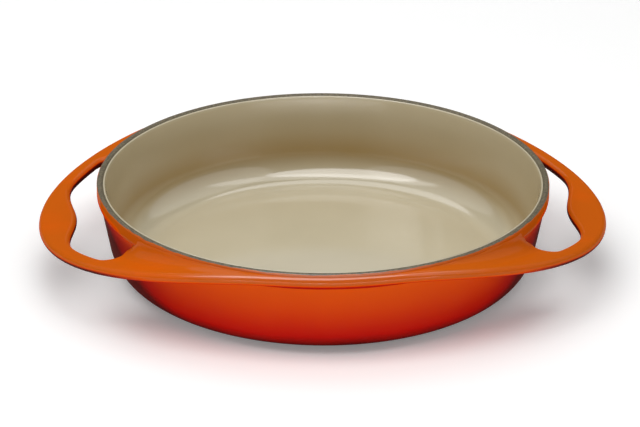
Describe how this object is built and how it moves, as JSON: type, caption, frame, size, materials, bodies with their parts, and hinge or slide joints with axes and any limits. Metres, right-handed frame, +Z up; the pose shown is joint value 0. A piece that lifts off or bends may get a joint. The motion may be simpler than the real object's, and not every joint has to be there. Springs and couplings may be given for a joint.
{
  "type": "tarte tatin dish",
  "caption": "Round, shallow enamelled cast iron baking dish with a sloping wall, a flat floor and drooping loop handles.",
  "frame": {"origin": "on the table, under the middle of the dish", "axes": "+X through the middle of one loop handle, +Y across the dish, +Z up out of the mouth"},
  "size_m": [0.3272, 0.2644, 0.055],
  "materials": {
    "cast_iron": "as cast, covered by the coats",
    "orange_enamel": "glossy vitreous enamel, orange above and deepening to red low on the wall",
    "sand_enamel": "satin to gloss vitreous enamel",
    "rim_ground_coat": "matt ground coat",
    "foot_enamel": "vitreous enamel dulled by standing on it"
  },
  "bodies": {
    "root": {"iron_casting": "cast_iron", "exterior_enamel": "orange_enamel", "interior_enamel": "sand_enamel", "rim_band": "rim_ground_coat", "base_enamel": "foot_enamel"}
  },
  "joints": []
}
